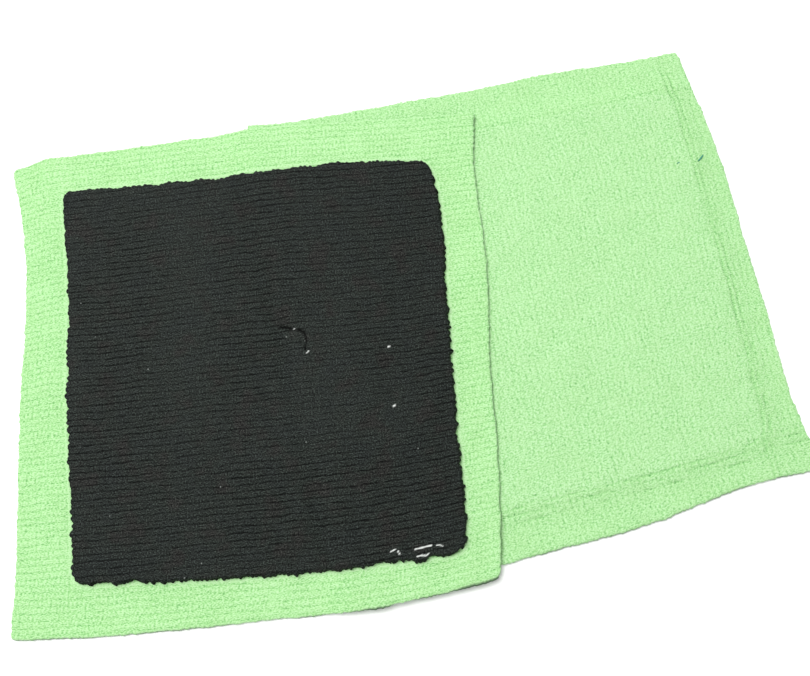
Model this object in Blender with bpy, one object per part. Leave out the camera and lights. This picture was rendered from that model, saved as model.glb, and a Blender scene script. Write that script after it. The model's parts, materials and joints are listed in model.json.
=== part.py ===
"""Two clay towels as one set: knit microfibre squares, each with a bond coat and a clay coat on one face.

The lower towel lies clay side down. The upper one lies clay side up, half on the resting surface and
half on the lower towel. Each towel can fold in half, so each layer is two panels that meet at the fold.

Row frame: metres, +Z up. The origin is the lower towel's centre on the resting surface, and X and Y run
along the lower towel's edges. Dimensions below are millimetres, and each outline is in its own towel's
frame, with the origin at that towel's centre.
"""
from math import cos, pi, radians, sin, sqrt

import bmesh
import bpy
from mathutils import Vector

MM = 0.001

# Layer thicknesses, from the clay face inwards, and the gap between pieces that touch
CLAY = 1.0
BOND = 0.4
FABRIC = 3.0
GAP = 0.3

# Where the upper towel lies in the row frame
UPPER_CENTRE = (-176.5, 2.9)
UPPER_TURN = radians(-8.4)

# Fold lines run along each towel's own Y. The axes stand above the stack, so a folded half lies on it
UPPER_FOLD_X = 0.0
LOWER_FOLD_X = 12.0
LOWER_FOLD_Z = 10.4
UPPER_FOLD_Z = 8.4

# Edges and corners
TOWEL_CORNER = 3.0
COAT_CORNER = 8.5
RIM_WIDTH = 1.2
TOWEL_RIM_DROP = 0.9
COAT_RIM_DROP = 0.4
DROOP_REACH = 27.0

# Drape: over the lower towel's own coat, and of the upper towel down from the lower one's left edge
PLATEAU_START = 1.0
PLATEAU_END = 8.0
STEP_LINES = (-20.0, -15.0, -10.0, -5.0, -1.0)
PANEL_PITCH = 19.0
MIN_COLUMN = 0.6

# Colours as linear RGB, with roughness
GREEN = (0.49, 0.87, 0.38)
CHARCOAL = (0.030, 0.036, 0.032)
BOND_GREY = (0.12, 0.16, 0.12)


class Outline:
    """Four corners joined by edges that bow away from straight by a few sine waves.

    The upper left corner can droop: the top edge is then drawn down by that much at the corner.
    """

    def __init__(self, corners, left, right, bottom, top, radius, droop=0.0):
        low_left, low_right, high_right, high_left = corners
        self.radius = radius
        self.left = bowed_edge(low_left, high_left, left, upright=True)
        self.right = bowed_edge(low_right, high_right, right, upright=True)
        self.bottom = bowed_edge(low_left, low_right, bottom, upright=False)
        self.top = drooped(bowed_edge(high_left, high_right, top, upright=False), high_left[0], droop)

    def inset(self, x, y):
        """Distance inwards from the nearest edge."""
        across = min(x - self.left(y), self.right(y) - x)
        along = min(y - self.bottom(x), self.top(x) - y)
        return min(across, along)

    def rounded(self, x, y):
        """Moves a point that lies in a corner's square onto that corner's quarter disc."""
        from_left = x - self.left(y)
        from_right = self.right(y) - x
        from_bottom = y - self.bottom(x)
        from_top = self.top(x) - y
        a = max(0.0, self.radius - min(from_left, from_right))
        b = max(0.0, self.radius - min(from_bottom, from_top))
        a_round = a * sqrt(1 - (b / self.radius) ** 2 / 2)
        b_round = b * sqrt(1 - (a / self.radius) ** 2 / 2)
        x_out = 1 if from_right < from_left else -1
        y_out = 1 if from_top < from_bottom else -1
        return x + x_out * (a_round - a), y + y_out * (b_round - b)


def bowed_edge(start, end, bows, upright):
    """An edge as a function: x from y if it is upright, else y from x."""
    run, rise = (1, 0) if upright else (0, 1)

    def edge(value):
        t = (value - start[run]) / (end[run] - start[run])
        wave = sum(bow * sin((k + 1) * pi * t) for k, bow in enumerate(bows))
        return start[rise] + (end[rise] - start[rise]) * t + wave

    return edge


def drooped(edge, end, droop):
    """A top edge drawn down at its left end, easing back to where it was over the droop's reach."""
    return lambda value: edge(value) - droop * max(0.0, 1 - max(0.0, value - end) / DROOP_REACH) ** 2


LOWER_TOWEL = Outline(
    corners=((-148, -158.4), (156.7, -149.4), (150.6, 145.4), (-148, 162.8)),
    left=(2.0, 1.0),
    right=(0.1, -4.1, -0.8, -0.9, -0.6),
    bottom=(-1.6, -2.1, 0.9, -1.9),
    top=(-2.3, -1.5, -0.5, 0.0, -0.7),
    radius=TOWEL_CORNER,
)
LOWER_COAT = Outline(
    corners=((-133, -126), (125, -121), (137, 118), (-120, 121)),
    left=(-1.0, 1.0),
    right=(1.5, 0.5),
    bottom=(-1.5, 1.0),
    top=(1.0, 1.0),
    radius=COAT_CORNER,
)
UPPER_TOWEL = Outline(
    corners=((-155.0, -156.2), (141.8, -147), (159, 155.5), (-153.8, 150.8)),
    left=(8.3, -3.1, 1.8),
    right=(1.7, 1.1, -0.2, 1.4, -0.6),
    bottom=(-9.1, 1.3, -1.0),
    top=(2.9, -0.1, -1.2),
    radius=TOWEL_CORNER,
    droop=9.0,
)
UPPER_COAT = Outline(
    corners=((-117.2, -128.6), (122.6, -131.6), (124.9, 122.9), (-119.7, 124.8)),
    left=(1.3, -1.2, 1.0, 0.2),
    right=(4.1, -1.4, 1.6, -0.4, 0.6),
    bottom=(-3.5, 0.5, 0.5),
    top=(2.4, -1.2, 0.4),
    radius=COAT_CORNER,
)


# Grid lines --------------------------------------------------------------------------------------

def offset(edge, distance):
    return lambda value: edge(value) + distance


def straight(position):
    return lambda value: position


def between(start, end, steps):
    """Lines spaced evenly between two others, without the two themselves."""

    def line(share):
        return lambda value: start(value) + (end(value) - start(value)) * share

    return [line(k / steps) for k in range(1, steps)]


def ordered(lines):
    """The same lines, each kept at least one narrow column past the line before it."""
    kept = [lines[0]]
    for line in lines[1:]:
        kept.append(lambda value, own=line, last=kept[-1]: max(own(value), last(value) + MIN_COLUMN))
    return kept


def left_of(lines, limit):
    """The same lines, each kept left of a limit by a narrow column for every line still to come."""
    kept = []
    for place, line in enumerate(lines):
        room = MIN_COLUMN * (len(lines) - place)
        kept.append(lambda value, own=line, room=room: min(own(value), limit(value) - room))
    return kept


def low_rim(edge, radius):
    return [edge, offset(edge, RIM_WIDTH), offset(edge, radius)]


def high_rim(edge, radius):
    return [offset(edge, -radius), offset(edge, -RIM_WIDTH), edge]


def fill(parts):
    """Joins groups of lines, with evenly spaced lines in the wide gaps between the groups."""
    lines = list(parts[0])
    for group in parts[1:]:
        width = group[0](0.0) - lines[-1](0.0)
        lines += between(lines[-1], group[0], max(1, round(width / PANEL_PITCH)))
        lines += group
    return ordered(lines)


def crossings(outline, columns, rows):
    """Points where the columns, x as functions of y, cross the rows, y as functions of x."""
    grid = []
    for row in rows:
        line = []
        for column in columns:
            x, y = 0.0, 0.0
            for _ in range(8):
                x = column(y)
                y = row(x)
            line.append(outline.rounded(x, y))
        grid.append(line)
    return grid


# Heights -----------------------------------------------------------------------------------------

def lower_edge_in_upper_frame():
    """The lower towel's left edge as a straight line in the upper towel's frame: x from y."""
    ends = []
    for x, y in ((LOWER_TOWEL.left(-158), -158), (LOWER_TOWEL.left(158), 158)):
        dx = x - UPPER_CENTRE[0]
        dy = y - UPPER_CENTRE[1]
        ends.append((
            dx * cos(UPPER_TURN) + dy * sin(UPPER_TURN),
            dy * cos(UPPER_TURN) - dx * sin(UPPER_TURN),
        ))
    return bowed_edge(ends[0], ends[1], (), upright=True)


STEP_EDGE = lower_edge_in_upper_frame()
LOWER_STACK = CLAY + GAP + BOND + GAP


def smoothstep(t):
    t = min(1.0, max(0.0, t))
    return t * t * (3 - 2 * t)


def lower_fabric_base(x, y):
    """Underside of the lower towel: on the surface at the border, and lifted over its own coat."""
    outside = -LOWER_COAT.inset(x, y)
    lift = 1 - min(1.0, max(0.0, (outside - PLATEAU_START) / (PLATEAU_END - PLATEAU_START)))
    return GAP + (LOWER_STACK - GAP) * lift


def upper_fabric_base(x, y):
    """Underside of the upper towel: on the surface at the left, and up on the lower towel at the right."""
    past_edge = x - STEP_EDGE(y)
    rise = smoothstep((past_edge - STEP_LINES[0]) / (STEP_LINES[-1] - STEP_LINES[0]))
    return GAP + (LOWER_STACK + FABRIC) * rise


def stacked(base, height):
    return lambda x, y: base(x, y) + height


# Solids ------------------------------------------------------------------------------------------

def build_sheet(name, outline, columns, rows, base, thickness, rim_drop, parent, material):
    """A closed sheet between base and base + thickness, with its outer rim thinned on both faces.

    rim_drop is the thinning of the lower face and of the upper face. Vertices are stored relative to
    the parent, whose origin is on the axis the sheet turns about.
    """
    grid = crossings(outline, columns, rows)
    pivot = Vector(parent["pivot_mm"])
    width = len(columns)
    mesh = bmesh.new()
    verts = []
    for side in (0, 1):
        for line in grid:
            for x, y in line:
                thinned = rim_drop[side] * (1 - min(1.0, max(0.0, outline.inset(x, y)) / RIM_WIDTH))
                z = base(x, y) + (thickness - thinned if side else thinned)
                verts.append(mesh.verts.new((Vector((x, y, z)) - pivot) * MM))
    low = verts[:len(verts) // 2]
    high = verts[len(verts) // 2:]
    for j in range(len(rows) - 1):
        for i in range(width - 1):
            corner = j * width + i
            loop = (corner, corner + 1, corner + width + 1, corner + width)
            mesh.faces.new([high[k] for k in loop])
            mesh.faces.new([low[k] for k in reversed(loop)])
    last_row = (len(rows) - 1) * width
    rim = [i for i in range(width)]
    rim += [j * width + width - 1 for j in range(1, len(rows))]
    rim += [last_row + i for i in range(width - 2, -1, -1)]
    rim += [j * width for j in range(len(rows) - 2, 0, -1)]
    for here, after in zip(rim, rim[1:] + rim[:1]):
        mesh.faces.new((low[here], low[after], high[after], high[here]))
    bmesh.ops.recalc_face_normals(mesh, faces=mesh.faces)
    bmesh.ops.triangulate(mesh, faces=mesh.faces)
    data = bpy.data.meshes.new(name)
    mesh.to_mesh(data)
    mesh.free()
    data.materials.append(material)
    data.shade_smooth()
    data.set_sharp_from_angle(angle=radians(40))
    sheet = bpy.data.objects.new(name, data)
    sheet.parent = parent
    bpy.context.scene.collection.objects.link(sheet)


def build_towel(name, towel, coat, panels, step_lines, fold_x, fabric_base, coat_bases, parents, materials):
    """One towel: its fabric, bond coat and clay coat, each as two panels either side of the fold line.

    coat_bases holds the base heights of the bond coat and of the clay coat. The clay coat's rim is thinned
    on the face away from the fabric.
    """
    fold_left = straight(fold_x - GAP / 2)
    fold_right = straight(fold_x + GAP / 2)
    clay_side_up = coat_bases[1](0, 0) > fabric_base(0, 0)
    clay_rim_drop = (0.0, COAT_RIM_DROP) if clay_side_up else (COAT_RIM_DROP, 0.0)
    layers = [
        ("towel", towel, fabric_base, FABRIC, (TOWEL_RIM_DROP, TOWEL_RIM_DROP)),
        ("bond_coat", coat, coat_bases[0], BOND, (0.0, 0.0)),
        ("clay_coat", coat, coat_bases[1], CLAY, clay_rim_drop),
    ]
    for layer, outline, base, thickness, rim_drop in layers:
        low_row = low_rim(outline.bottom, outline.radius)
        high_row = high_rim(outline.top, outline.radius)
        low_column = low_rim(outline.left, outline.radius)
        high_column = high_rim(outline.right, outline.radius)
        if layer == "towel":
            low_row += [offset(coat.bottom, -PLATEAU_END), offset(coat.bottom, -PLATEAU_START)]
            high_row = [offset(coat.top, PLATEAU_START), offset(coat.top, PLATEAU_END)] + high_row
            low_column += [offset(coat.left, -PLATEAU_END), offset(coat.left, -PLATEAU_START)]
            high_column = [offset(coat.right, PLATEAU_START), offset(coat.right, PLATEAU_END)] + high_column
        rows = fill([low_row, high_row])
        left_columns = fill([low_column, left_of(step_lines, fold_left) + [fold_left]])
        right_columns = fill([[fold_right] + step_lines, high_column])
        for panel, columns, parent in zip(panels, (left_columns, right_columns), parents):
            build_sheet(
                f"{name}_{layer}_{panel}", outline, columns, rows, base, thickness, rim_drop, parent,
                materials[layer],
            )


def build_material(name, colour, roughness):
    material = bpy.data.materials.new(name)
    material.use_nodes = True
    shader = material.node_tree.nodes["Principled BSDF"]
    shader.inputs["Base Color"].default_value = (*colour, 1.0)
    shader.inputs["Roughness"].default_value = roughness
    shader.inputs["Metallic"].default_value = 0.0
    return material


def build_axis(name, pivot, parent=None):
    """An empty at a pivot given in its towel's frame. Pieces under it are stored relative to it."""
    axis = bpy.data.objects.new(name, None)
    axis["pivot_mm"] = pivot
    axis.location = Vector(pivot) * MM
    axis.parent = parent
    bpy.context.scene.collection.objects.link(axis)
    return axis


for old in list(bpy.data.objects):
    bpy.data.objects.remove(old, do_unlink=True)

layer_materials = {
    "towel": build_material("microfibre", GREEN, 0.95),
    "bond_coat": build_material("bond", BOND_GREY, 0.6),
    "clay_coat": build_material("clay_polymer", CHARCOAL, 0.55),
}

lower_frame = build_axis("lower_towel_frame", (0.0, 0.0, 0.0))
lower_fold = build_axis("lower_fold_axis", (LOWER_FOLD_X, 0.0, LOWER_FOLD_Z), lower_frame)
upper_frame = build_axis("upper_towel_frame", (0.0, 0.0, 0.0))
upper_frame.location = Vector((*UPPER_CENTRE, 0.0)) * MM
upper_frame.rotation_euler.z = UPPER_TURN
upper_fold = build_axis("upper_fold_axis", (UPPER_FOLD_X, 0.0, UPPER_FOLD_Z), upper_frame)

build_towel(
    "lower", LOWER_TOWEL, LOWER_COAT, ("main", "flap"), [], LOWER_FOLD_X,
    fabric_base=lower_fabric_base,
    coat_bases=(lambda x, y: CLAY + GAP, lambda x, y: 0.0),
    parents=(lower_frame, lower_fold),
    materials=layer_materials,
)
build_towel(
    "upper", UPPER_TOWEL, UPPER_COAT, ("left", "right"), [offset(STEP_EDGE, d) for d in STEP_LINES],
    UPPER_FOLD_X,
    fabric_base=upper_fabric_base,
    coat_bases=(
        stacked(upper_fabric_base, FABRIC + GAP),
        stacked(upper_fabric_base, FABRIC + GAP + BOND + GAP),
    ),
    parents=(upper_frame, upper_fold),
    materials=layer_materials,
)
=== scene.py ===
"""Visible surfaces of a pair of clay towels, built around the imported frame.

Each towel is three sheets: a knit microfibre cloth, a bond coat and a ridged clay coat. Every sheet is a
closed mesh whose outline, height and place come from the CAD solids it stands for. The towels' drape is
settled as cloth. The pile, the clay's ridges and the ragged edges are geometry, and their materials add
fibre, colour and gloss.
"""
import json
from math import cos, pi, radians, sin

import bpy
import numpy as np
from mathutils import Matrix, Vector
from mathutils.bvhtree import BVHTree


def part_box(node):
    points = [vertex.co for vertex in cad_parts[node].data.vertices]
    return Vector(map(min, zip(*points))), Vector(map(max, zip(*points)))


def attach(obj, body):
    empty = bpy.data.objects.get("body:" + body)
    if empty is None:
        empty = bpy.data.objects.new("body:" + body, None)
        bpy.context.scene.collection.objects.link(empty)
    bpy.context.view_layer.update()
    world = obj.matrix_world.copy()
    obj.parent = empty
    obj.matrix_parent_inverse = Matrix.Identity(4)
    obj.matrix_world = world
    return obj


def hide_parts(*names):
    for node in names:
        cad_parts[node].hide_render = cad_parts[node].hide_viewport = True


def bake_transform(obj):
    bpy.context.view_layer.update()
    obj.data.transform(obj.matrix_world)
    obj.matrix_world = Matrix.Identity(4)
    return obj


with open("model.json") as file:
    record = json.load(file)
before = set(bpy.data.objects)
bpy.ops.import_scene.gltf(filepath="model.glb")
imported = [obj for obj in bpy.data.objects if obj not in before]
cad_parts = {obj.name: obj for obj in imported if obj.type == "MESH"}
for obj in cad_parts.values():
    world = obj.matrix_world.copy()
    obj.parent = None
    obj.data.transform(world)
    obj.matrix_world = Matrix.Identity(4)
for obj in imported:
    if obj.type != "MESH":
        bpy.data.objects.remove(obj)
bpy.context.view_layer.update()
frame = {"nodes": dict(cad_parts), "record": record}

MM = 0.001
JOINTS = {joint["name"]: joint for joint in frame["record"]["behaviour"]["joints"]}

# Knit: ridges run along the rows, and loops follow each other along a row. The fibre of the wiping side
# is turned WIPE_LAY from square to the rows. Millimetres from here on
ROW_PITCH = 4.0
LOOP_PITCH = 2.6
WIPE_LAY = radians(15.0)

# Grids: even points that heights are read at, points of the lookup table, rays that find an outline, and
# steps of the visible sheets. RIM_STEPS are the narrow steps in from an edge
COARSE_COUNT = 77
TABLE_COUNT = 301
OUTLINE_RAYS = 1440
FABRIC_STEP = 0.8
CLAY_STEP_ACROSS = 0.5
CLAY_STEP_ALONG = 0.85
BOND_STEP = 2.5
BOND_RIM_STEPS = (0.0, 0.5, 1.2)
RIM_STEPS = (0.0, 0.15, 0.4, 0.8, 1.3)

# Reading the solids: how far past the fold line's gap a probe stands, how far inside the outline the
# outermost probes are as a share of the towel, and the height that rays start from
FOLD_GAP = 0.3
PAST_FOLD = 0.4
PROBE_INSET = 2.5 / 150
RAY_START = 50

# Relief: depths and heights on each sheet, and the widths over which its rim and edge thin out
KNIT_DEPTH = 0.8
WIPE_DEPTH = 0.95
KNIT_SHARE = 0.54
WIPE_SHARE = 0.3
CREASE_DEPTH = 0.6
CREASE_PRESS = 0.55
FABRIC_RIM = 1.8
RIDGE_DEPTH = 0.5
NICK_DEPTH = 0.5
GLINT_AND_SPECK_HEIGHT = 0.3
CLAY_RIM = 2.4
CLAY_EDGE = 1.3
RIM_LEFT = 0.07
BOND_INSET = 2.4
BOND_RIPPLE = 0.05
HEM_SINK = 0.38
FOLD_ZONE = 20.0

# Pile beside the coat: raised by FRINGE on a line FRINGE_OUT outside it, which also paints a paler highlight
# there through the pile's colour, and paler where the coat backs it
FRINGE = 0.5
FRINGE_OUT = 0.9
BORDER_TONE = 0.35
BORDER_BLEND = 5.0

# Ragged edges: size of the teeth, size of the slow drift, and how far in from the edge they reach
FABRIC_FRAY = (0.7, 0.4, 4.0)
CLAY_FRAY = (1.55, 1.0, 6.0)
BULGE_REACH = 8.0

# The cut edge's slant: its width, the clearance that earns it, and its limits below and at the right
LIP = 0.6
LIP_CLEARANCE = 3.0
LIP_MOST = (3.0, 0.3)

# Settling: each towel starts a little above its solid with slow waves in it, and drops under gravity.
# One simulated metre is 100 mm, and no point ends more than SETTLE_CAP above its solid
SIM_SCALE = 0.01
SIM_FRAMES = 20
SIM_COUNT = 39
SIM_CLEARANCE = 0.004
BED_FRICTION = 30.0
CLOTH = {
    "quality": 4,
    "mass": 0.2,
    "tension_stiffness": 25.0,
    "compression_stiffness": 25.0,
    "shear_stiffness": 15.0,
    "bending_stiffness": 4.0,
}
SETTLE_DROP = 2.6
SETTLE_WAVE = 2.2
SETTLE_CAP = 1.6
BED_MARGIN = 15.0

# Noise tables
NOISE_SIZE = 512
TUFT_REACH = 0.55


# Noise -------------------------------------------------------------------------------------------

def smooth_noise(x, y, cell, seed):
    """Seeded noise from -1 to 1 that changes smoothly over about one cell."""
    values = np.random.RandomState(seed).uniform(-1, 1, (NOISE_SIZE, NOISE_SIZE))
    column = np.floor(x / cell).astype(int)
    row = np.floor(y / cell).astype(int)
    fx = x / cell - column
    fy = y / cell - row
    fx = fx * fx * (3 - 2 * fx)
    fy = fy * fy * (3 - 2 * fy)
    near = [[values[(row + j) % NOISE_SIZE, (column + i) % NOISE_SIZE] for i in (0, 1)] for j in (0, 1)]
    low = near[0][0] * (1 - fx) + near[0][1] * fx
    high = near[1][0] * (1 - fx) + near[1][1] * fx
    return low * (1 - fy) + high * fy


def tufts(x, y, cell, seed):
    """Rounded tufts about one cell wide: 1 on a tuft's crown and 0 in the creases between tufts."""
    random = np.random.RandomState(seed).uniform(0.15, 0.85, (NOISE_SIZE, NOISE_SIZE, 2))
    column = np.floor(x / cell).astype(int)
    row = np.floor(y / cell).astype(int)
    nearest = np.full(np.shape(x), 9.0)
    for j in (-1, 0, 1):
        for i in (-1, 0, 1):
            spot = random[(row + j) % NOISE_SIZE, (column + i) % NOISE_SIZE]
            dx = column + i + spot[..., 0] - x / cell
            dy = row + j + spot[..., 1] - y / cell
            nearest = np.minimum(nearest, dx * dx + dy * dy)
    return 1 - np.minimum(1.0, nearest / TUFT_REACH)


def hump(t, width):
    return np.exp(-(t / width) ** 2)


def smoothstep(t):
    t = np.clip(t, 0.0, 1.0)
    return t * t * (3 - 2 * t)


def line_distance(plan, points):
    """Distance from each plan point to a line drawn through some points."""
    nearest = np.full(plan.shape[:-1], 1e9)
    for start, end in zip(points[:-1], points[1:]):
        run = np.array(end) - start
        offset = plan - start
        share = np.clip(offset @ run / (run @ run), 0, 1)
        offset = offset - share[..., None] * run
        nearest = np.minimum(nearest, np.hypot(offset[..., 0], offset[..., 1]))
    return nearest


# Reading the CAD solids --------------------------------------------------------------------------

class Place:
    """A towel's own plan frame: millimetres, with Y along its fold line."""

    def __init__(self, origin, y_axis):
        self.origin = np.array(origin[:2]) / MM
        self.y = np.array(y_axis[:2]) / np.linalg.norm(y_axis[:2])
        self.x = np.array((self.y[1], -self.y[0]))

    def local(self, points):
        offset = points[..., :2] - self.origin
        return np.stack([offset @ self.x, offset @ self.y], -1)

    def row_frame(self, plan, height):
        flat = self.origin + plan[..., :1] * self.x + plan[..., 1:2] * self.y
        return np.concatenate([flat, height[..., None]], -1)


def solid_mesh(names):
    """Vertices in millimetres and triangles of some CAD nodes, as one mesh."""
    points, triangles, count = [], [], 0
    for name in names:
        data = frame["nodes"][name].data
        data.calc_loop_triangles()
        coordinates = np.empty(len(data.vertices) * 3)
        data.vertices.foreach_get("co", coordinates)
        corners = np.empty(len(data.loop_triangles) * 3, int)
        data.loop_triangles.foreach_get("vertices", corners)
        points.append(coordinates.reshape(-1, 3) / MM)
        triangles.append(corners.reshape(-1, 3) + count)
        count += len(data.vertices)
    return np.vstack(points), np.vstack(triangles)


def plan_sides(points, triangles, place, fold_x):
    """The plan outline as four polylines, bottom, right, top and left, between the corners' middles.

    Rays from a point beside the fold line find the outermost edge on each bearing. The gap at the fold
    line is closed first, so that no ray runs out through it.
    """
    flat = place.local(points)
    flat[:, 0] = np.where(np.abs(flat[:, 0] - fold_x) < FOLD_GAP, fold_x, flat[:, 0])
    pairs = np.vstack([triangles[:, [0, 1]], triangles[:, [1, 2]], triangles[:, [0, 2]]])
    edges = np.unique(np.sort(pairs), axis=0)
    centre = np.array((fold_x + 5.0, 0.0))
    start = flat[edges[:, 0]] - centre
    run = flat[edges[:, 1]] - flat[edges[:, 0]]
    rim = []
    for angle in np.linspace(-pi, pi, OUTLINE_RAYS, endpoint=False):
        ray = np.array((cos(angle), sin(angle)))
        facing = ray[0] * run[:, 1] - ray[1] * run[:, 0]
        facing = np.where(np.abs(facing) < 1e-9, 1e-9, facing)
        along = (start[:, 0] * ray[1] - start[:, 1] * ray[0]) / facing
        reach = (start[:, 0] * run[:, 1] - start[:, 1] * run[:, 0]) / facing
        hit = (along >= -1e-6) & (along <= 1 + 1e-6) & (reach > 0)
        rim.append(centre + ray * reach[hit].max())
    rim = np.array(rim)
    corner = [int(np.argmax(rim @ np.array(way))) for way in ((-1, -1), (1, -1), (1, 1), (-1, 1))]
    sides = []
    for first, last in zip(corner, corner[1:] + corner[:1]):
        span = (last - first) % len(rim)
        sides.append(rim[(first + np.arange(span + 1)) % len(rim)])
    bottom, right, top, left = sides
    return bottom, right, top[::-1], left[::-1]


def resample(line, shares):
    steps = np.concatenate([[0], np.cumsum(np.linalg.norm(np.diff(line, axis=0), axis=1))])
    at = shares * steps[-1]
    return np.stack([np.interp(at, steps, line[:, k]) for k in (0, 1)], -1)


def side_lengths(sides):
    """Lengths of the bottom and left sides."""
    return [float(np.linalg.norm(np.diff(sides[k], axis=0), axis=1).sum()) for k in (0, 3)]


def coons(sides, u, v):
    """Plan points of a grid that fills the outline, with u running to the right and v upwards."""
    bottom, right, top, left = sides
    low, high = resample(bottom, u)[None], resample(top, u)[None]
    west, east = resample(left, v)[:, None], resample(right, v)[:, None]
    uu, vv = u[None, :, None], v[:, None, None]
    corners = (
        (1 - uu) * (1 - vv) * low[:, :1] + uu * (1 - vv) * low[:, -1:]
        + (1 - uu) * vv * high[:, :1] + uu * vv * high[:, -1:]
    )
    return (1 - vv) * low + vv * high + (1 - uu) * west + uu * east - corners


def fine_shares(length, step, rim):
    """Shares of a side from 0 to 1: narrow steps at both ends, and even steps between."""
    middle = np.linspace(rim[-1], length - rim[-1], int(round((length - 2 * rim[-1]) / step)) + 1)
    ends = np.array(rim[:-1])
    return np.concatenate([ends, middle, length - ends[::-1]]) / length


def spline_weights(shares, count):
    """Weights that read count evenly spaced values at each share, as a Catmull-Rom spline."""
    at = shares * (count - 1)
    first = np.clip(at.astype(int), 0, count - 2)
    f = at - first
    weights = np.zeros((len(shares), count))
    spline = (
        -0.5 * f + f ** 2 - 0.5 * f ** 3,
        1 - 2.5 * f ** 2 + 1.5 * f ** 3,
        0.5 * f + 2 * f ** 2 - 1.5 * f ** 3,
        -0.5 * f ** 2 + 0.5 * f ** 3,
    )
    for step, weight in zip((-1, 0, 1, 2), spline):
        np.add.at(weights, (np.arange(len(shares)), np.clip(first + step, 0, count - 1)), weight)
    return weights


def blurred(grid, passes):
    for _ in range(passes):
        padded = np.pad(grid, 1, mode="edge")
        grid = (padded[1:-1, :-2] + 2 * padded[1:-1, 1:-1] + padded[1:-1, 2:]) / 4
        padded = np.pad(grid, 1, mode="edge")
        grid = (padded[:-2, 1:-1] + 2 * padded[1:-1, 1:-1] + padded[2:, 1:-1]) / 4
    return grid


def unit(vectors):
    return vectors / np.maximum(np.linalg.norm(vectors, axis=-1, keepdims=True), 1e-9)


def normals_of(points):
    """Unit normals of a grid of points, upwards."""
    return unit(np.cross(np.gradient(points, axis=1), np.gradient(points, axis=0)))


class Towel:
    """A towel's middle surface, read from its CAD fabric panels."""

    def __init__(self, name, panels, bodies, place, fold_x, clay_side, rows_run_up, lean):
        self.name, self.panels, self.bodies, self.place, self.fold_x = name, panels, bodies, place, fold_x
        self.clay_side, self.rows_run_up, self.lean = clay_side, rows_run_up, lean
        points, triangles = solid_mesh([f"{name}_towel_{panel}" for panel in panels])
        self.sides = plan_sides(points, triangles, place, fold_x)
        self.coat_sides = plan_sides(
            *solid_mesh([f"{name}_clay_coat_{panel}" for panel in panels]), place, fold_x
        )
        self.width, self.height = side_lengths(self.sides)
        even = np.linspace(0, 1, COARSE_COUNT)
        self.coarse = coons(self.sides, even, even)
        tree = BVHTree.FromPolygons(points.tolist(), triangles.tolist())
        self.thickness, middle = self.read_heights(tree)
        self.middle = blurred(middle, 2)
        self.lift = np.zeros_like(middle)
        self.make_lookup()

    def read_heights(self, tree):
        """Median thickness and middle heights at the coarse points, each probed a little further in."""
        probe = self.coarse * (1 - PROBE_INSET)
        in_gap = np.abs(probe[..., 0] - self.fold_x) < PAST_FOLD
        probe[..., 0] = np.where(in_gap, self.fold_x + PAST_FOLD, probe[..., 0])
        flat = self.place.row_frame(probe, np.zeros(probe.shape[:2]))
        top = np.empty(probe.shape[:2])
        bottom = np.empty(probe.shape[:2])
        for index in np.ndindex(top.shape):
            x, y, _ = flat[index]
            top[index] = tree.ray_cast(Vector((x, y, RAY_START)), Vector((0, 0, -1)))[0].z
            bottom[index] = tree.ray_cast(Vector((x, y, -RAY_START)), Vector((0, 0, 1)))[0].z
        return float(np.median(top - bottom)), (top + bottom) / 2

    def weave(self, u, v):
        """Distances along and across the knit's rows, from the towel's shares."""
        x = (u - 0.5) * self.width
        y = (v - 0.5) * self.height
        return (y, x - self.lean * y) if self.rows_run_up else (x, y)

    def surface(self, u, v):
        """Plan points, middle heights and unit normals on the grid of shares u and v."""
        over, up = spline_weights(u, COARSE_COUNT), spline_weights(v, COARSE_COUNT)
        middle = self.middle + self.lift
        coarse_normals = normals_of(self.place.row_frame(self.coarse, middle))
        normals = np.stack([up @ coarse_normals[..., k] @ over.T for k in range(3)], -1)
        return coons(self.sides, u, v), up @ middle @ over.T, unit(normals)

    def make_lookup(self):
        even = np.linspace(0, 1, TABLE_COUNT)
        plan, height, normals = self.surface(even, even)
        self.table = np.concatenate([plan, height[..., None], normals], -1)

    def read_table(self, uv):
        """Plan point, middle height and normal at shares u and v, as six numbers."""
        at = np.clip(uv, 0, 1) * (TABLE_COUNT - 1)
        first = np.clip(at.astype(int), 0, TABLE_COUNT - 2)
        f = at - first
        i, j = first[..., 0], first[..., 1]
        fu, fv = f[..., :1], f[..., 1:]
        low = self.table[j, i] * (1 - fu) + self.table[j, i + 1] * fu
        high = self.table[j + 1, i] * (1 - fu) + self.table[j + 1, i + 1] * fu
        return low * (1 - fv) + high * fv

    def shares_of(self, plan):
        """The towel's shares u and v under plan points, by repeated correction."""
        size = np.array((self.width, self.height))
        uv = plan / size + 0.5
        for _ in range(12):
            uv = uv + (plan - self.read_table(uv)[..., :2]) / size
        return uv

    def lift_under(self, other):
        """How far this towel stands above its solid under another towel's coarse points."""
        plan = self.place.local(other.place.row_frame(other.coarse, other.middle))
        uv = self.shares_of(plan)
        inside = np.all((uv > -0.01) & (uv < 1.01), axis=-1)
        at = np.clip(uv, 0, 1) * (COARSE_COUNT - 1)
        nearest = np.rint(at).astype(int)
        return np.where(inside, self.lift[nearest[..., 1], nearest[..., 0]], 0.0)

    def on_surface(self, plan):
        """Middle surface, normals and weave distances under plan points."""
        uv = self.shares_of(plan)
        found = self.read_table(uv)
        along, across = self.weave(uv[..., 0], uv[..., 1])
        return self.place.row_frame(plan, found[..., 2]), unit(found[..., 3:]), along, across


# Settling ----------------------------------------------------------------------------------------

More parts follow.
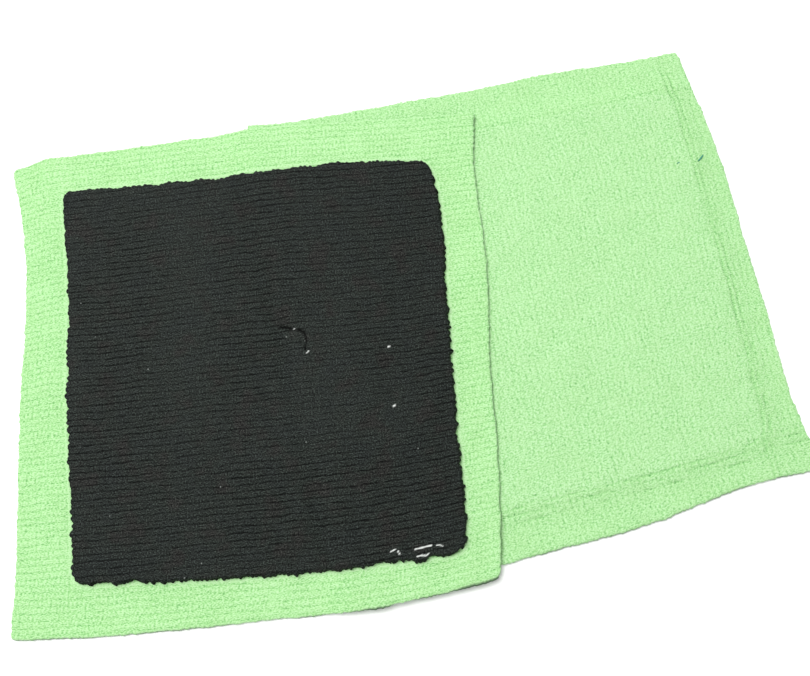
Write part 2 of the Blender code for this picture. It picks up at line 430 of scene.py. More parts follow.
def grid_object(name, points):
    """An open grid of points in millimetres, as an object in simulation units."""
    rows, columns = points.shape[:2]
    index = np.arange(rows * columns).reshape(rows, columns)
    faces = np.stack([index[:-1, :-1], index[:-1, 1:], index[1:, 1:], index[1:, :-1]], -1)
    mesh = bpy.data.meshes.new(name)
    mesh.from_pydata((points.reshape(-1, 3) * SIM_SCALE).tolist(), [], faces.reshape(-1, 4).tolist())
    grid = bpy.data.objects.new(name, mesh)
    bpy.context.scene.collection.objects.link(grid)
    return grid


def bed_under(place, plan, height):
    """The surface a towel settles on, which reaches out a little past the towel."""
    plan = np.pad(plan, ((1, 1), (1, 1), (0, 0)), mode="edge")
    plan[:, 0, 0] -= BED_MARGIN
    plan[:, -1, 0] += BED_MARGIN
    plan[0, :, 1] -= BED_MARGIN
    plan[-1, :, 1] += BED_MARGIN
    bed = grid_object("bed", place.row_frame(plan, np.pad(height, 1, mode="edge")))
    bed.modifiers.new("bed", "COLLISION")
    bed.collision.thickness_outer = SIM_CLEARANCE
    bed.collision.cloth_friction = BED_FRICTION
    return bed


def settle(towel, seed, below=None):
    """Drops the towel's coarse sheet on its bed as cloth, and keeps the waves that are left in it."""
    raised = below.lift_under(towel) if below else np.zeros_like(towel.middle)
    spacing = (COARSE_COUNT - 1) // (SIM_COUNT - 1)
    plan = towel.coarse[::spacing, ::spacing]
    height = (towel.middle + raised)[::spacing, ::spacing]
    x, y = plan[..., 0], plan[..., 1]
    wave = 0.65 * smooth_noise(x, y, 52, seed) + 0.35 * smooth_noise(x, y, 23, seed + 1)
    bed = bed_under(towel.place, plan, height)
    start = towel.place.row_frame(plan, height + SETTLE_DROP + SETTLE_WAVE * wave)
    sheet = grid_object("settling_sheet", start)
    cloth = sheet.modifiers.new("cloth", "CLOTH")
    for key, value in CLOTH.items():
        setattr(cloth.settings, key, value)
    cloth.collision_settings.distance_min = SIM_CLEARANCE
    cloth.collision_settings.collision_quality = 2
    cloth.collision_settings.use_self_collision = False
    cloth.point_cache.frame_end = SIM_FRAMES
    for step in range(1, SIM_FRAMES + 1):
        bpy.context.scene.frame_set(step)
    result = sheet.evaluated_get(bpy.context.evaluated_depsgraph_get()).data
    points = np.empty(len(result.vertices) * 3)
    result.vertices.foreach_get("co", points)
    lift = points.reshape(SIM_COUNT, SIM_COUNT, 3)[..., 2] / SIM_SCALE - height
    lift = np.clip(lift - np.percentile(lift, 5), 0, SETTLE_CAP)
    weights = spline_weights(np.linspace(0, 1, COARSE_COUNT), SIM_COUNT)
    towel.lift = blurred(weights @ lift @ weights.T, 1) + raised
    for done in (sheet, bed):
        mesh = done.data
        bpy.data.objects.remove(done)
        bpy.data.meshes.remove(mesh)
    bpy.context.scene.frame_set(1)


# Surface relief ----------------------------------------------------------------------------------

def knit_cells(along, across, seed):
    """Knit loops as pillows, 0 in the grooves to 1 on the crowns, with rows that wander a little."""
    wander = 0.55 * smooth_noise(along, across, 11, seed)
    wander = wander + 0.35 * smooth_noise(along, across, 4, seed + 1)
    row = (across + wander) / ROW_PITCH
    number = np.floor(row).astype(int)
    shift = np.random.RandomState(seed + 2).uniform(0, 0.5, NOISE_SIZE)[number % NOISE_SIZE]
    shift = shift + 0.5 * (number % 2)
    loop = (along + 0.5 * smooth_noise(along, across, 5, seed + 3)) / LOOP_PITCH + shift
    over_row = np.sin(pi * (row - number)) ** 0.4
    over_loop = np.abs(np.sin(pi * loop)) ** 0.7
    return over_row * (0.45 + 0.55 * over_loop)


def fabric_pile(along, across, seed, knit_share):
    """Height of the pile from 0 to 1: the knit under it, then tufts of two sizes and loose fibre."""
    knit = knit_cells(along, across, seed)
    big = tufts(along * 0.8, across, 1.9, seed + 4)
    small = tufts(along, across * 0.9, 1.15, seed + 5)
    fluff = 0.5 + 0.5 * smooth_noise(along, across, 0.85, seed + 6)
    patchy = 0.92 + 0.16 * smooth_noise(along, across, 9, seed + 7)
    rest = 1 - knit_share
    return np.clip(knit_share * knit * patchy + rest * (0.36 * big + 0.34 * small + 0.30 * fluff), 0, 1)


def clay_ridges(along, across, seed):
    """Height of the clay skin from 0 in a groove to 1 on a ridge.

    Grooves come and go along a row, a fainter one runs between each two, and both are partly filled in
    places.
    """
    wander = 0.5 * smooth_noise(along, across, 12, seed) + 0.25 * smooth_noise(along, across, 4, seed + 1)
    wander = wander + 0.22 * smooth_noise(along, across, 1.9, seed + 7)
    row = (across + wander) / ROW_PITCH
    to_groove = (row - np.round(row)) * ROW_PITCH
    to_middle = (row - np.floor(row) - 0.5) * ROW_PITCH
    number = np.round(row)
    half_number = np.floor(row) + 0.5
    strength = np.clip(0.82 + 0.38 * smooth_noise(along / 3.6, number * 7.3, 1.0, seed + 2), 0, 1)
    faint = np.clip(0.48 + 0.55 * smooth_noise(along / 2.8, half_number * 7.3, 1.0, seed + 3), 0, 1)
    loops = 0.5 + 0.5 * smooth_noise(along * 0.8, across, 1.4, seed + 4)
    grain = 0.5 + 0.5 * smooth_noise(along * 0.9, across, 0.85, seed + 5)
    groove = 0.72 * strength * hump(to_groove, 0.42) + 0.46 * faint * hump(to_middle, 0.36)
    filled = np.clip(0.88 + 0.3 * smooth_noise(along, across, 42, seed + 6), 0, 1)
    return np.clip(1 - groove * filled - 0.08 * loops - 0.2 * grain, 0, 1)


def ragged_shift(along_side, pitch, seed, scallop, drift):
    """How far an edge stands out along it: a scallop about a pitch long, fine teeth, and slow drift."""
    line = np.full_like(along_side, float(seed))
    cell = along_side / pitch + 0.45 * smooth_noise(along_side, line, 7, seed + 3)
    number = np.floor(cell).astype(int)
    size = np.random.RandomState(seed).uniform(0.1, 1.0, NOISE_SIZE)[number % NOISE_SIZE]
    lobe = np.sin(pi * (cell - number)) ** 0.7 * size
    slow = smooth_noise(along_side, line, 9, seed + 1)
    fine = smooth_noise(along_side, line, 1.5, seed + 2)
    return scallop * (lobe - 0.5 + 0.45 * fine) + drift * slow


def rim_distance(u, v, width, height):
    across = np.minimum(u, 1 - u)[None, :] * width
    up = np.minimum(v, 1 - v)[:, None] * height
    return np.minimum(across, up)


def fray(plan, u, v, size, seed, ragged, pitches):
    """Moves the plan points near each side outwards or inwards, so that the outline is uneven.

    pitches holds the tooth pitch of the upright sides and of the level ones.
    """
    scallop, drift, reach = ragged
    width, height = size
    up = v * height
    over = u * width
    right, left = [ragged_shift(up, pitches[0], seed + k, scallop, drift)[:, None] for k in (0, 10)]
    top, bottom = [ragged_shift(over, pitches[1], seed + k, scallop, drift)[None, :] for k in (20, 30)]
    x = right * smoothstep(1 - (1 - u) * width / reach) - left * smoothstep(1 - u * width / reach)
    to_top, to_bottom = ((1 - v) * height / reach)[:, None], (v * height / reach)[:, None]
    y = top * smoothstep(1 - to_top) - bottom * smoothstep(1 - to_bottom)
    return plan + np.stack([x, y], -1)


def rim_round(distance, width, power=0.5):
    """Share of full thickness at a distance from the rim: a quarter circle, or leaner at a higher power."""
    t = 1 - np.clip(distance / width, 0, 1)
    return np.maximum(1 - t * t, 0.0) ** power * (1 - RIM_LEFT) + RIM_LEFT


def outside_coat(towel, plan):
    """How far plan points lie outside the coat's outline, measured square to its nearest side."""
    bottom, right, top, left = towel.coat_sides
    x, y = plan[..., 0], plan[..., 1]
    past_right = x - np.interp(y, right[:, 1], right[:, 0])
    past_left = np.interp(y, left[:, 1], left[:, 0]) - x
    past_top = y - np.interp(x, top[:, 0], top[:, 1])
    past_bottom = np.interp(x, bottom[:, 0], bottom[:, 1]) - y
    return np.maximum(np.maximum(past_right, past_left), np.maximum(past_top, past_bottom))


def coat_creases(towel, plan):
    """Creases that the coat's edge has pressed through the fabric: 0 away from them to 1 in them.

    Two run up beside the coat's right edge, where the cloth steps down from the coat to the surface.
    Three thin broken ones follow its bottom edge, and a faint one its top edge.
    """
    bottom, right, top, _ = towel.coat_sides
    x, y = plan[..., 0], plan[..., 1]
    sway = 0.7 * smooth_noise(x, y, 21, 71) + 0.25 * smooth_noise(x, y, 4, 72)
    past = x - np.interp(y, right[:, 1], right[:, 0]) + sway
    below = np.interp(x, bottom[:, 0], bottom[:, 1]) - y + sway
    above = y - np.interp(x, top[:, 0], top[:, 1]) + sway
    broken = 0.6 + 0.5 * smooth_noise(x, y, 7, 73)
    thin = [
        hump(below - 1.2 - gap, 0.5) * (0.3 + 0.5 * smooth_noise(x, y, 9, 74 + gap))
        for gap in (0, 4, 9)
    ]
    upright = 0.7 * hump(past - 1.6, 0.8) + 0.55 * hump(past - 5.2, 0.8)
    level = np.maximum(sum(thin), 0.25 * hump(above - 1.6, 0.7))
    return np.clip(np.maximum(upright * broken, level), 0, 1)


# Meshes ------------------------------------------------------------------------------------------

def grid_faces(rows, columns):
    """Quads of two stacked grids and of the wall that joins their outlines, upper grid first."""
    index = np.arange(rows * columns).reshape(rows, columns)
    a, b = index[:-1, :-1], index[:-1, 1:]
    c, d = index[1:, 1:], index[1:, :-1]
    upper = np.stack([a, b, c, d], -1).reshape(-1, 4)
    lower = np.stack([d, c, b, a], -1).reshape(-1, 4) + index.size
    rim = np.concatenate([index[0, :-1], index[:-1, -1], index[-1, :0:-1], index[:0:-1, 0]])
    after = np.roll(rim, -1)
    wall = np.stack([rim + index.size, after + index.size, after, rim], -1)
    return np.vstack([upper, lower, wall]), len(wall)


def closed_sheet(name, over, under, attributes, material, slot):
    """A closed mesh from two grids of points in millimetres, with values given for both grids."""
    rows, columns = over.shape[:2]
    count = rows * columns
    faces, wall_count = grid_faces(rows, columns)
    mesh = bpy.data.meshes.new(name)
    mesh.vertices.add(count * 2)
    points = np.vstack([over.reshape(-1, 3), under.reshape(-1, 3)]) * MM
    mesh.vertices.foreach_set("co", points.astype(np.float32).ravel())
    mesh.loops.add(faces.size)
    mesh.loops.foreach_set("vertex_index", faces.ravel())
    mesh.polygons.add(len(faces))
    mesh.polygons.foreach_set("loop_start", np.arange(0, faces.size, 4))
    mesh.update(calc_edges=True)
    mesh.shade_smooth()
    for key, (above, below) in attributes.items():
        values = np.concatenate([above.reshape(count, -1), below.reshape(count, -1)]).astype(np.float32)
        kind = "FLOAT" if values.shape[1] == 1 else "FLOAT_VECTOR"
        layer = mesh.attributes.new(key, kind, "POINT")
        layer.data.foreach_set("value" if kind == "FLOAT" else "vector", values.ravel())
    # The upper grid takes the left half of the map and the lower grid the right half
    s, t = np.meshgrid(np.linspace(0, 1, columns), np.linspace(0, 1, rows))
    flat = np.stack([0.01 + 0.48 * s, 0.01 + 0.98 * t], -1).reshape(-1, 2)
    unwrap = np.vstack([flat, flat + np.array((0.5, 0.0))])[faces.ravel()]
    wall_loops = slice(faces.size - wall_count * 4, None)
    unwrap[wall_loops] = flat[faces.ravel()[wall_loops] % count]
    layer = mesh.uv_layers.new(name="OFBake")
    layer.data.foreach_set("uv", unwrap.astype(np.float32).ravel())
    mesh.materials.append(material)
    sheet = bpy.data.objects.new(name, mesh)
    bpy.context.scene.collection.objects.link(sheet)
    return sheet


def place_layer(towel, layer, material, slot, outer, inner, values):
    """Makes one of the towel's sheets and hides its solids.

    outer and inner are its faces on the clay side and on the other side, and values holds each
    attribute for those two faces.
    """
    faces = (outer, inner) if towel.clay_side > 0 else (inner, outer)
    attributes = {key: pair if towel.clay_side > 0 else pair[::-1] for key, pair in values.items()}
    sheet = closed_sheet(f"{towel.name}_{layer}", *faces, attributes, material, slot)
    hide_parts(*[f"{towel.name}_{layer}_{panel}" for panel in towel.panels])
    start, end = [
        towel.place.row_frame(np.array((towel.fold_x + side * FOLD_ZONE / 2, 0.0)), np.array(0.0)) * MM
        for side in (-1, 1)
    ]
    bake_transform(sheet)


def weave_pair(along, across):
    """Weave distances as a shader vector for the two faces, kept apart so that they don't look alike.

    The fibre of the second face lies nearly across the rows.
    """
    flat = np.zeros_like(along)
    lain = (
        along * sin(WIPE_LAY) + across * cos(WIPE_LAY) + 500,
        along * cos(WIPE_LAY) - across * sin(WIPE_LAY) + 500,
        flat,
    )
    return np.stack([along, across, flat], -1), np.stack(lain, -1)


def slant_lip(towel, under, seed):
    """Slants the cut edge's underside outwards along the bottom and right, and returns a mask of the
    underside's outermost ring, where dark green shade is painted.

    It slants most where the sheet stands off the surface and curls under a little.
    """
    rows, columns = under.shape[:2]
    sides = ((under[0], -towel.place.y), (under[:, -1], towel.place.x))
    for (ring, direction), most in zip(sides, LIP_MOST):
        step = np.arange(len(ring)) * FABRIC_STEP
        line = np.full(len(ring), seed + 0.5)
        share = np.clip(0.55 + 0.9 * smooth_noise(step, line, 14, seed + 50), 0, 1)
        share = share * np.minimum(ring[:, 2] / LIP_CLEARANCE, most)
        ring[:, :2] += LIP * share[:, None] * direction
    # Painted shade: the underside's outermost ring is painted dark green, the edge in shadow, seen where the
    # lip slants out
    rim_shade = np.zeros((rows, columns))
    rim_shade[0] = rim_shade[-1] = 1
    rim_shade[:, 0] = rim_shade[:, -1] = 1
    return rim_shade


def build_fabric(towel, material, seed):
    u = fine_shares(towel.width, FABRIC_STEP, RIM_STEPS)
    v = fine_shares(towel.height, FABRIC_STEP, RIM_STEPS)
    plan, height, normal = towel.surface(u, v)
    size = (towel.width, towel.height)
    ragged_plan = fray(plan, u, v, size, seed, FABRIC_FRAY, (ROW_PITCH, LOOP_PITCH))
    middle = towel.place.row_frame(ragged_plan, height)
    along, across = towel.weave(*np.meshgrid(u, v))
    knit = fabric_pile(along, across, seed + 100, KNIT_SHARE)
    wipe = fabric_pile(along, across, seed + 200, WIPE_SHARE)
    outside = outside_coat(towel, plan)
    knit = np.clip(knit + FRINGE * hump(outside - FRINGE_OUT, FRINGE_OUT), 0, 1)
    backed = BORDER_TONE + (1 - BORDER_TONE) * smoothstep(0.5 - outside / BORDER_BLEND)
    crease = coat_creases(towel, plan)
    # Pressing the pile down in a crease also deepens its painted shade
    wipe = np.clip(wipe - CREASE_PRESS * crease, 0, 1)
    edge = rim_round(rim_distance(u, v, *size), FABRIC_RIM)
    half = towel.thickness / 2 * edge
    knit_height = half - KNIT_DEPTH * (1 - knit) * edge
    wipe_height = half - (WIPE_DEPTH * (1 - wipe) + CREASE_DEPTH * crease) * edge
    up = normal * towel.clay_side
    outer, inner = middle + up * knit_height[..., None], middle - up * wipe_height[..., None]
    rim_shade = slant_lip(towel, inner if towel.clay_side > 0 else outer, seed)
    plain = np.zeros_like(knit)
    place_layer(
        towel, "towel", material, "microfibre", outer, inner,
        {
            "weave": weave_pair(along, across),
            "pile": (knit, wipe),
            "backed": (plain, backed),
            "cut": (plain, rim_shade) if towel.clay_side > 0 else (rim_shade, plain),
        },
    )


def coat_grid(towel, steps, rim):
    """A coat's plan grid, its shares of the coat's sides, and the sides' lengths."""
    width, height = side_lengths(towel.coat_sides)
    u = fine_shares(width, steps[0], rim)
    v = fine_shares(height, steps[1], rim)
    return coons(towel.coat_sides, u, v), u, v, (width, height)


def layer_offset(towel, layer):
    """Distances from the towel's middle to a coat's near and far faces, from the CAD solids at rest."""
    low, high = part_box(f"{towel.name}_{layer}_{towel.panels[0]}")
    cloth_low, cloth_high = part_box(f"{towel.name}_towel_{towel.panels[0]}")
    if towel.clay_side > 0:
        middle = cloth_low.z / MM + towel.thickness / 2
        return low.z / MM - middle, high.z / MM - middle
    middle = cloth_high.z / MM - towel.thickness / 2
    return middle - high.z / MM, middle - low.z / MM


def build_bond(towel, material, seed):
    plan, _, _, size = coat_grid(towel, (BOND_STEP, BOND_STEP), BOND_RIM_STEPS)
    centre = plan.mean(axis=(0, 1))
    plan = centre + (plan - centre) * (1 - 2 * BOND_INSET / size[0])
    middle, normal, along, across = towel.on_surface(plan)
    near, far = layer_offset(towel, "bond_coat")
    ripple = BOND_RIPPLE * smooth_noise(along, across, 5, seed)
    up = normal * towel.clay_side
    place_layer(
        towel, "bond_coat", material, "bond",
        middle + up * (far + ripple)[..., None],
        middle + up * (near + ripple)[..., None],
        {"weave": weave_pair(along, across)},
    )


def build_clay(towel, material, seed, nicks=(), glints_and_specks=(), bulge=None):
    """The clay coat, ridged over the knit's rows, with a ragged edge that laps onto the fabric.

    A nick is a line cut into the skin, with painted shade in it. A glint is a glossy raised streak painted
    near white as a highlight, and a speck a white dot. The bulge is a stretch of the bottom edge that stands
    out, given as its middle, half width and height.
    """
    along_rows = (CLAY_STEP_ALONG, CLAY_STEP_ACROSS)
    plan, u, v, size = coat_grid(towel, along_rows[::-1] if towel.rows_run_up else along_rows, RIM_STEPS)
    pitches = (LOOP_PITCH, ROW_PITCH) if towel.rows_run_up else (ROW_PITCH, LOOP_PITCH)
    plan = fray(plan, u, v, size, seed, CLAY_FRAY, pitches)
    if bulge:
        middle_x, half_width, out = bulge
        share = smoothstep(1.6 * (1 - np.abs(plan[..., 0] - middle_x) / half_width))
        plan[..., 1] -= out * share * smoothstep(1 - v * size[1] / BULGE_REACH)[:, None]
    middle, normal, along, across = towel.on_surface(plan)
    ridges = clay_ridges(along, across, seed + 100)
    near, far = layer_offset(towel, "clay_coat")
    distance = rim_distance(u, v, *size)
    hem = towel.thickness / 2 - HEM_SINK
    inner = near + (hem - near) * smoothstep(1 - distance / (BOND_INSET * 0.8))
    cut = np.zeros_like(ridges)
    # The nicks are cut into the skin, and the material paints them near black as shade
    for points, half_width in nicks:
        cut = np.maximum(cut, hump(line_distance(plan, points), half_width))
    # Glints and specks: raised and glossy, and painted near white in the material, the streaks as highlights
    glint_and_speck = np.zeros_like(ridges)
    for points, half_width in glints_and_specks:
        glint_and_speck = np.maximum(glint_and_speck, smoothstep(1.5 - line_distance(plan, points) / half_width))
    outer = far - RIDGE_DEPTH * (1 - ridges) * (1 - glint_and_speck) - NICK_DEPTH * cut
    outer = inner + (outer - inner) * rim_round(distance, CLAY_RIM, 1.0) + GLINT_AND_SPECK_HEIGHT * glint_and_speck
    up = normal * towel.clay_side
    plain = np.zeros_like(ridges)
    edge = smoothstep(1 - distance / CLAY_EDGE)
    place_layer(
        towel, "clay_coat", material, "clay_polymer",
        middle + up * outer[..., None],
        middle + up * inner[..., None],
        {
            "weave": weave_pair(along, across),
            "ridge": (ridges, plain + 1),
            "cut": (np.maximum(cut, 0.8 * edge), plain),
            "glint_and_speck": (glint_and_speck, plain),
        },
    )


def build_thread(name, towel, body, material, points, radius):
    """A loose thread that lies on the towel's upper face along a line, as a closed tapered tube."""
    line = resample(np.array(points), np.linspace(0, 1, 13))
    middle, normal, along, across = towel.on_surface(line)
    run = unit(np.gradient(middle, axis=0))
    side = np.cross(normal, run)
    lift = towel.thickness / 2 - 0.1
    rings = 8
    taper = radius * np.sqrt(np.sin(pi * np.linspace(0.04, 0.96, len(line))))
    turns = np.arange(rings) * 2 * pi / rings
    circle = side[:, None] * np.cos(turns)[:, None] + normal[:, None] * np.sin(turns)[:, None]
    verts = middle[:, None] + normal[:, None] * lift + circle * taper[:, None, None]
    last = (len(line) - 1) * rings
    faces = []
    for here in range(0, last, rings):
        for i in range(rings):
            after = (i + 1) % rings
            faces.append((here + i, here + after, here + rings + after, here + rings + i))
    faces += [tuple(range(rings))[::-1], tuple(last + i for i in range(rings))]
    mesh = bpy.data.meshes.new(name)
    mesh.from_pydata((verts.reshape(-1, 3) * MM).tolist(), [], faces)
    mesh.shade_smooth()
    mesh.materials.append(material)
    thread = bpy.data.objects.new(name, mesh)
    bpy.context.scene.collection.objects.link(thread)
    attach(thread, body)


# Materials ---------------------------------------------------------------------------------------

class Graph:
    """A material's node tree, with each node made and wired in one call."""

    def __init__(self, name):
        self.material = bpy.data.materials.new(name)
        self.material.use_nodes = True
        self.tree = self.material.node_tree
        self.shader = self.tree.nodes["Principled BSDF"]

    def add(self, kind, inputs, **settings):
        node = self.tree.nodes.new(kind)
        for key, value in settings.items():
            setattr(node, key, value)
        self.wire(node, inputs)
        return node

    def wire(self, node, inputs):
        for key, value in inputs.items():
            if isinstance(value, bpy.types.NodeSocket):
                self.tree.links.new(value, node.inputs[key])
            else:
                node.inputs[key].default_value = value

    def attribute(self, name, output):
        return self.add("ShaderNodeAttribute", {}, attribute_name=name).outputs[output]

    def noise(self, vector, size, detail=2.0, roughness=0.5):
        """Noise whose features are about size millimetres across, from 0 to 1."""
        node = self.add(
            "ShaderNodeTexNoise",
            {"Vector": vector, "Scale": 1.0 / size, "Detail": detail, "Roughness": roughness},
        )
        return node.outputs["Fac"]

    def cells(self, vector, size):
        """Distance to the nearest of some points scattered about size millimetres apart, and its colour."""
        inputs = {"Vector": vector, "Scale": 1.0 / size, "Randomness": 1.0}
        node = self.add("ShaderNodeTexVoronoi", inputs)
        return node.outputs["Distance"], node.outputs["Color"]

    def specks(self, vector, spacing, radii, strength, chances):
        """Strength of small specks, which only some of the scattered points have."""
        distance, colour = self.cells(vector, spacing)
        pick = self.add("ShaderNodeSeparateColor", {"Color": colour}).outputs[0]
        near = self.range(distance, *radii, strength, 0.0)
        return self.maths("MULTIPLY", near, self.range(pick, *chances, 0.0, 1.0))

    def stretch(self, vector, scale):
        return self.add("ShaderNodeVectorMath", {0: vector, 1: scale}, operation="MULTIPLY").outputs[0]

    def maths(self, operation, a, b):
        return self.add("ShaderNodeMath", {0: a, 1: b}, operation=operation).outputs[0]

    def ramp(self, fac, stops):
        node = self.add("ShaderNodeValToRGB", {"Fac": fac})
        elements = node.color_ramp.elements
        while len(elements) < len(stops):
            elements.new(0.5)
        for element, (position, colour) in zip(elements, stops):
            element.position = position
            element.color = (*colour, 1.0)
        return node.outputs["Color"]

    def mix(self, fac, a, b, mode="MIX"):
        node = self.add("ShaderNodeMix", {0: fac, 6: a, 7: b}, data_type="RGBA", blend_type=mode)
        return node.outputs[2]

    def range(self, value, low, high, to_low, to_high):
        node = self.add(
            "ShaderNodeMapRange",
            {"Value": value, "From Min": low, "From Max": high, "To Min": to_low, "To Max": to_high},
        )
        return node.outputs["Result"]

    def bump(self, height, strength, distance, normal=None):
        inputs = {"Height": height, "Strength": strength, "Distance": distance * MM}
        if normal is not None:
            inputs["Normal"] = normal
        return self.add("ShaderNodeBump", inputs).outputs["Normal"]

    def finish(self, **inputs):
        self.wire(self.shader, {key.replace("_", " "): value for key, value in inputs.items()})
        return self.material


def grey(value):
    return (value, value, value)


def microfibre_material():
    """Green pile: painted shade deeper green between the tufts and a painted highlight on their crowns, dark
    dashes, slow changes in tone, and painted shade on the underside's rim at the edge.
    """
    graph = Graph("microfibre_pile")
    weave = graph.attribute("weave", "Vector")
    pile = graph.attribute("pile", "Fac")
    speckle = graph.noise(graph.stretch(weave, (0.65, 1.25, 1.0)), 0.85, 1.0, 0.5)
    flecked = graph.range(speckle, 0.32, 0.68, 0.0, 0.66)
    pile_shade_and_speckle = graph.maths("ADD", graph.range(pile, 0.15, 0.85, 0.0, 0.56), flecked)
    # Painted shade and highlight: low pile deep green, high pile pale, mixed with speckle
    colour = graph.ramp(pile_shade_and_speckle, (
        (0.10, (0.072, 0.255, 0.064)),
        (0.36, (0.205, 0.478, 0.165)),
        (0.62, (0.328, 0.632, 0.257)),
        (0.95, (0.478, 0.752, 0.402)),
    ))
    broad = graph.noise(weave, 14.0, 3.0)
    colour = graph.mix(graph.range(broad, 0.35, 0.7, 0.0, 0.14), colour, (0.400, 0.620, 0.285, 1.0))
    colour = graph.mix(graph.attribute("backed", "Fac"), colour, (1.04, 1.0, 1.07, 1.0), "MULTIPLY")
    fibre = graph.noise(graph.stretch(weave, (0.7, 1.6, 1.0)), 0.4, 3.0, 0.7)
    fibre_tone = graph.ramp(fibre, ((0.25, grey(0.8)), (0.75, grey(1.05))))
    colour = graph.mix(1.0, colour, fibre_tone, "MULTIPLY")
    dash = graph.specks(graph.stretch(weave, (0.5, 1.0, 1.0)), 6.0, (0.04, 0.09), 0.55, (0.55, 0.75))
    colour = graph.mix(dash, colour, (0.085, 0.270, 0.080, 1.0))
    # Painted shade: dark green on the underside's outermost ring at the edge
    colour = graph.mix(graph.attribute("cut", "Fac"), colour, (0.045, 0.120, 0.055, 1.0))
    normal = graph.bump(speckle, 0.7, 0.5)
    normal = graph.bump(fibre, 0.5, 0.3, normal)
    return graph.finish(
        Base_Color=colour, Roughness=0.95, Normal=normal, Sheen_Weight=0.3, Sheen_Roughness=0.45,
        Sheen_Tint=(0.85, 1.0, 0.85, 1.0), Specular_IOR_Level=0.12,
    )


def clay_material():
    """Charcoal clay: painted shade in the grooves and lighter on the ridges, painted shade near black in the
    nicks, darker at the edge, with warm and cool patches and painted glints.
    """
    graph = Graph("clay_polymer_ridged")
    weave = graph.attribute("weave", "Vector")
    ridge = graph.attribute("ridge", "Fac")
    cut = graph.attribute("cut", "Fac")
    glint_and_speck = graph.attribute("glint_and_speck", "Fac")
    tone = graph.ramp(graph.noise(weave, 17.0, 2.0), (
        (0.34, (0.0112, 0.0118, 0.0104)),
        (0.46, (0.0102, 0.0134, 0.0111)),
        (0.66, (0.0098, 0.0128, 0.0114)),
    ))
    # Painted shade: dark in the grooves, lighter on the ridges
    shade = graph.ramp(ridge, (
        (0.12, grey(0.1)),
        (0.45, grey(0.55)),
        (0.7, grey(1.0)),
        (1.0, grey(1.5)),
    ))
    colour = graph.mix(1.0, tone, shade, "MULTIPLY")
    grain = graph.noise(graph.stretch(weave, (0.85, 1.15, 1.0)), 0.75, 1.0, 0.5)
    mottle = graph.ramp(grain, (
        (0.28, grey(0.03)),
        (0.42, grey(0.4)),
        (0.57, grey(1.4)),
        (0.72, grey(3.6)),
    ))
    colour = graph.mix(1.0, colour, mottle, "MULTIPLY")
    # Painted shade near black in the nicks, and the coat's edge painted darker
    colour = graph.mix(cut, colour, (0.003, 0.003, 0.003, 1.0))
    # Painted highlights: sparse pale flecks as glints
    glint_flecks = graph.specks(weave, 11.0, (0.02, 0.05), 0.4, (0.7, 0.9))
    colour = graph.mix(glint_flecks, colour, (0.40, 0.44, 0.41, 1.0))
    # Painted highlight: the glint streaks painted near white, and the two white specks
    colour = graph.mix(glint_and_speck, colour, (0.62, 0.65, 0.62, 1.0))
    sparkle = graph.noise(graph.stretch(weave, (0.6, 1.0, 1.0)), 0.8, 1.0)
    rough = graph.range(sparkle, 0.56, 0.74, 0.6, 0.3)
    rough = graph.mix(glint_and_speck, rough, (0.15, 0.15, 0.15, 1.0))
    dulled = graph.range(cut, 0.0, 0.8, 1.0, 0.1)
    shine = graph.maths("MULTIPLY", graph.range(ridge, 0.2, 0.95, 0.03, 0.1), dulled)
    normal = graph.bump(grain, 0.8, 0.35)
    return graph.finish(Base_Color=colour, Roughness=rough, Normal=normal, Specular_IOR_Level=shine)


def bond_material():
    graph = Graph("bond_adhesive")
    weave = graph.attribute("weave", "Vector")
    patchy = graph.noise(weave, 3.0, 4.0, 0.6)
    colour = graph.ramp(patchy, ((0.3, (0.09, 0.13, 0.09)), (0.7, (0.16, 0.21, 0.15))))
    rough = graph.range(patchy, 0.3, 0.7, 0.5, 0.8)
    return graph.finish(Base_Color=colour, Roughness=rough, Normal=graph.bump(patchy, 0.4, 0.4))


def thread_material():
    graph = Graph("teal_thread")
    place = graph.add("ShaderNodeTexCoord", {}).outputs["Object"]
    twist = graph.noise(place, 0.0006, 2.0)
    colour = graph.ramp(twist, ((0.35, (0.02, 0.16, 0.11)), (0.65, (0.06, 0.30, 0.20))))
    return graph.finish(Base_Color=colour, Roughness=0.8, Normal=graph.bump(twist, 0.5, 0.2))


# Stage, in metres --------------------------------------------------------------------------------

FLOOR_HALF = 6.0
FLOOR_BELOW = 0.0002
LIGHT_PLACE = (-0.85, 1.01, 2.7)
LIGHT_AIM = (-0.08, 0.0, 0.0)
LIGHT_SIZE = 1.8
LIGHT_POWER = 105.0
WORLD_STRENGTH = 0.6
CAMERA_AZIMUTH = radians(-13.8)
CAMERA_ELEVATION = radians(78.15)
CAMERA_DISTANCE = 0.5805
CAMERA_AIM = (-0.0785, -0.005, 0.0)
CAMERA_LENS = 40.0
SENSOR_WIDTH = 36.0


def build_stage():
    mesh = bpy.data.meshes.new("floor")
    half = FLOOR_HALF
    corners = [(-half, -half, 0), (half, -half, 0), (half, half, 0), (-half, half, 0)]
    mesh.from_pydata(corners, [], [(0, 1, 2, 3)])
    graph = Graph("floor_white")
    mesh.materials.append(graph.finish(Base_Color=(0.93, 0.93, 0.93, 1.0), Roughness=0.9))
    floor = bpy.data.objects.new("floor", mesh)
    floor.location.z = -FLOOR_BELOW
    bpy.context.scene.collection.objects.link(floor)


def build_light():
    data = bpy.data.lights.new("key", "AREA")
    data.size = LIGHT_SIZE
    data.energy = LIGHT_POWER
    light = bpy.data.objects.new("key", data)
    light.location = LIGHT_PLACE
    light.rotation_euler = (Vector(LIGHT_AIM) - Vector(LIGHT_PLACE)).to_track_quat("-Z", "Y").to_euler()
    bpy.context.scene.collection.objects.link(light)


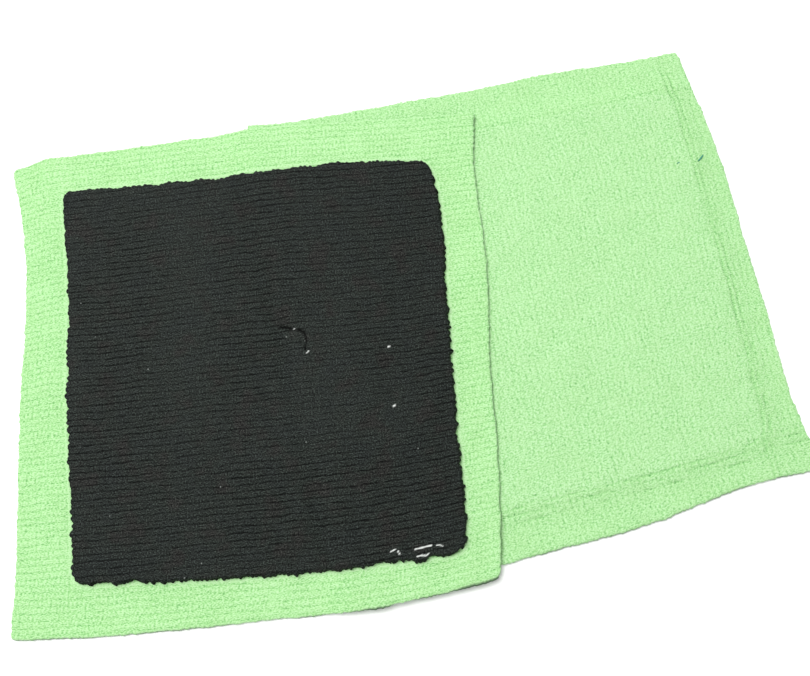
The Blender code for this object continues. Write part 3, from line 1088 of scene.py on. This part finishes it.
def build_camera():
    """Nearly overhead, turned a little from the row frame."""
    level = cos(CAMERA_ELEVATION)
    back = Vector((sin(CAMERA_AZIMUTH) * level, -cos(CAMERA_AZIMUTH) * level, sin(CAMERA_ELEVATION)))
    data = bpy.data.cameras.new("camera")
    data.lens = CAMERA_LENS
    data.sensor_width = SENSOR_WIDTH
    camera = bpy.data.objects.new("camera", data)
    camera.location = Vector(CAMERA_AIM) + back * CAMERA_DISTANCE
    camera.rotation_euler = (-back).to_track_quat("-Z", "Y").to_euler()
    bpy.context.scene.collection.objects.link(camera)
    bpy.context.scene.camera = camera
    bpy.context.scene.view_settings.view_transform = "Standard"


def build_world():
    world = bpy.data.worlds.new("studio")
    world.use_nodes = True
    background = world.node_tree.nodes["Background"]
    background.inputs["Color"].default_value = (1.0, 1.0, 1.0, 1.0)
    background.inputs["Strength"].default_value = WORLD_STRENGTH
    bpy.context.scene.world = world


# The object --------------------------------------------------------------------------------------

# Marks on the upper clay coat, in the upper towel's plan frame: lines through points, and half widths
NICKS = (
    (((20.9, 18.8), (22.8, 18.3), (25.0, 17.7), (27.6, 16.7)), 0.75),
    (((31.5, 15.4), (33.7, 14.4), (35.0, 13.3)), 0.8),
    (((35.0, 13.3), (35.7, 10.2), (35.5, 7.0), (34.7, 2.3)), 0.5),
)
# Glints and specks: streaks painted near white as highlights, two of them at the nick's ends, and two white
# specks near x 87
GLINTS_AND_SPECKS = (
    (((91.7, -125.8), (94.8, -125.4), (98.5, -124.8), (101.5, -124.5)), 0.4),
    (((104.6, -124.6), (107.0, -124.8), (108.1, -125.5)), 0.33),
    (((92.5, -130.2), (95.6, -129.7), (97.9, -130.2), (99.5, -129.2)), 0.38),
    (((77.1, -125.9), (78.3, -125.4), (80.2, -124.7)), 0.33),
    (((81.3, -126.0), (82.4, -128.0)), 0.33),
    (((86.9, -0.8), (87.3, -0.6)), 0.55),
    (((86.9, -38.5), (87.4, -38.1)), 0.55),
    (((29.2, 16.4), (29.5, 15.9)), 0.26),
    (((36.4, 1.2), (36.2, 0.5), (35.5, 0.3)), 0.25),
)
BULGE = (94.5, 6.0, 2.0)

# Loose threads on the lower towel, in its plan frame: name, line through points, and radius
THREADS = (
    ("loose_thread_long", ((139.7, 64.6), (141.9, 65.9), (144.7, 68.2)), 0.55),
    ("loose_thread_short", ((125.5, 65.9), (126.4, 66.4), (127.7, 66.5)), 0.35),
)

upper_fold = JOINTS["upper_fold"]
upper = Towel(
    "upper", ("left", "right"), ("upper_left", "upper_right"),
    Place(upper_fold["pos_m"], [-value for value in upper_fold["axis"]]), 0.0,
    clay_side=1, rows_run_up=False, lean=0.0,
)
lower = Towel(
    "lower", ("main", "flap"), ("lower_main", "lower_flap"),
    Place((0.0, 0.0), (0.0, 1.0)), JOINTS["lower_fold"]["pos_m"][0] / MM,
    clay_side=-1, rows_run_up=True, lean=0.05,
)
settle(lower, 11)
settle(upper, 21, below=lower)
lower.make_lookup()
upper.make_lookup()

microfibre, clay, bond = microfibre_material(), clay_material(), bond_material()
for towel, seed in ((lower, 1000), (upper, 2000)):
    build_fabric(towel, microfibre, seed)
    build_bond(towel, bond, seed + 300)
build_clay(lower, clay, 1400)
build_clay(upper, clay, 2400, NICKS, GLINTS_AND_SPECKS, BULGE)
teal = thread_material()
for name, points, radius in THREADS:
    build_thread(name, lower, "lower_flap", teal, points, radius)

build_stage()
build_light()
build_world()
build_camera()
